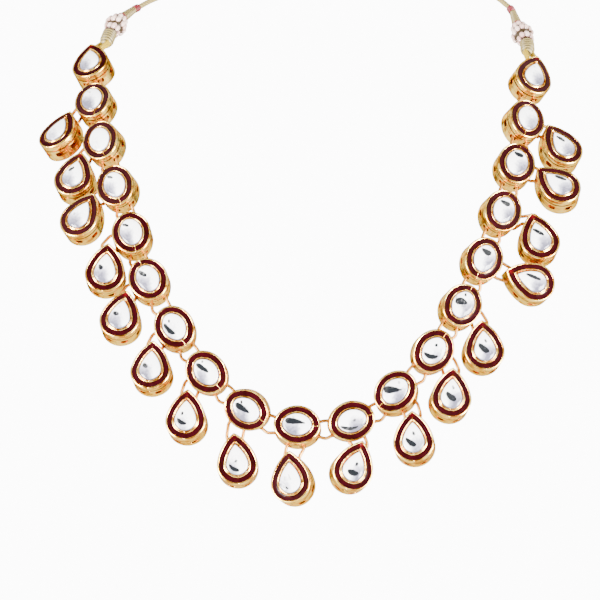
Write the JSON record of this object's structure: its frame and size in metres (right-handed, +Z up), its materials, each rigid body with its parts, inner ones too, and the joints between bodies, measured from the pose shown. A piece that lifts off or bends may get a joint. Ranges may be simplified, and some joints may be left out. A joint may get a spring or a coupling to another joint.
{
  "type": "kundan necklace",
  "caption": "Choker-length chain of enamelled oval settings with pale domed stones, each carrying an enamelled teardrop drop, closed behind by a gold thread cord with seed pearl bunches.",
  "frame": {"origin": "at the nape, on the inner face of the slide bead, where the loop hangs", "axes": "+Z up, +X to the viewer's right, the necklace's front towards -Y"},
  "size_m": [0.1647, 0.1353, 0.1722],
  "materials": {
    "gold": "polished warm yellow gold, brightest on rims and edges",
    "enamel": "glossy translucent dark maroon enamel with small pits",
    "stone": "smooth clear stone over silver foil, very glossy, pale grey",
    "gold_thread": "wound metallic gold thread",
    "seed_pearl": "soft pearly lustre, pinkish white",
    "red_thread": "bright red wound silk thread"
  },
  "bodies": {
    "root": {"case_middle": "gold", "case_right_1": "gold", "case_right_2": "gold", "case_right_3": "gold", "case_right_4": "gold", "case_right_5": "gold", "case_right_6": "gold", "case_right_7": "gold", "case_right_8": "gold", "case_right_9": "gold", "case_left_1": "gold", "case_left_2": "gold", "case_left_3": "gold", "case_left_4": "gold", "case_left_5": "gold", "case_left_6": "gold", "case_left_7": "gold", "case_left_8": "gold", "case_left_9": "gold", "drop_middle": "gold", "drop_right_1": "gold", "drop_right_2": "gold", "drop_right_3": "gold", "drop_right_4": "gold", "drop_right_5": "gold", "drop_right_6": "gold", "drop_right_7": "gold", "drop_right_8": "gold", "drop_left_1": "gold", "drop_left_2": "gold", "drop_left_3": "gold", "drop_left_4": "gold", "drop_left_5": "gold", "drop_left_6": "gold", "drop_left_7": "gold", "drop_left_8": "gold", "chain_stones": "stone", "drop_stones": "stone", "chain_enamel": "enamel", "drop_enamel": "enamel", "chain_links": "gold", "drop_links": "gold", "tie_left": "gold_thread", "tie_right": "gold_thread", "winding_left": "gold_thread", "winding_right": "gold_thread", "pearls_left": "seed_pearl", "pearls_right": "seed_pearl", "taper_left": "gold_thread", "taper_right": "gold_thread", "red_band_left": "red_thread", "red_band_right": "red_thread", "neck_cord": "gold_thread", "slide_bead": "gold_thread"}
  },
  "joints": []
}
